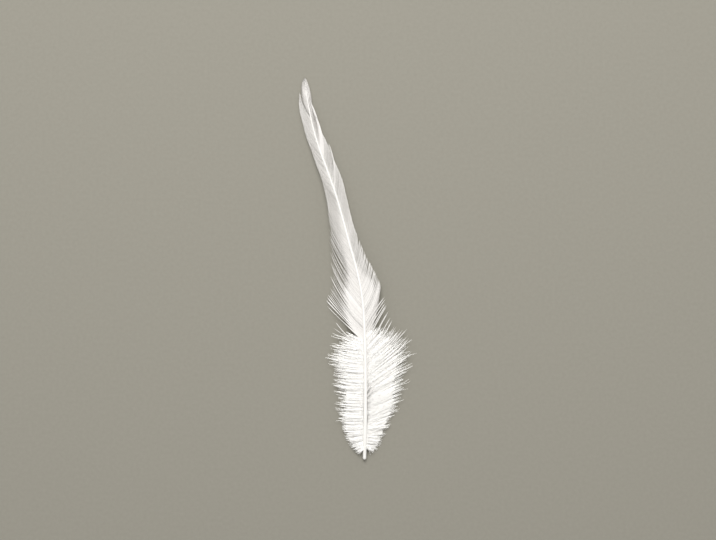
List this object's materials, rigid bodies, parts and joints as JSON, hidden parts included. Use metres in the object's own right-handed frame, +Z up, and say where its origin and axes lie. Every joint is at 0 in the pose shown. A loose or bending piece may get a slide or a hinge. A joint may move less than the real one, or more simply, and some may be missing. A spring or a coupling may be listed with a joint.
{
  "type": "white feather",
  "caption": "Slim pointed white feather with a curved shaft, a close vane that frays into loose locks, and a wide base of soft down.",
  "frame": {"origin": "middle of the feather's box in X and Y, on the surface that it lies on", "axes": "+Y from the bare quill end to the tip, +X to the right and +Z up, as the feather lies with its outer face up"},
  "size_m": [0.0468, 0.158, 0.0061],
  "materials": {
    "vane": "matte",
    "shaft": "satin"
  },
  "bodies": {
    "root": {"feather": "vane"}
  },
  "joints": []
}
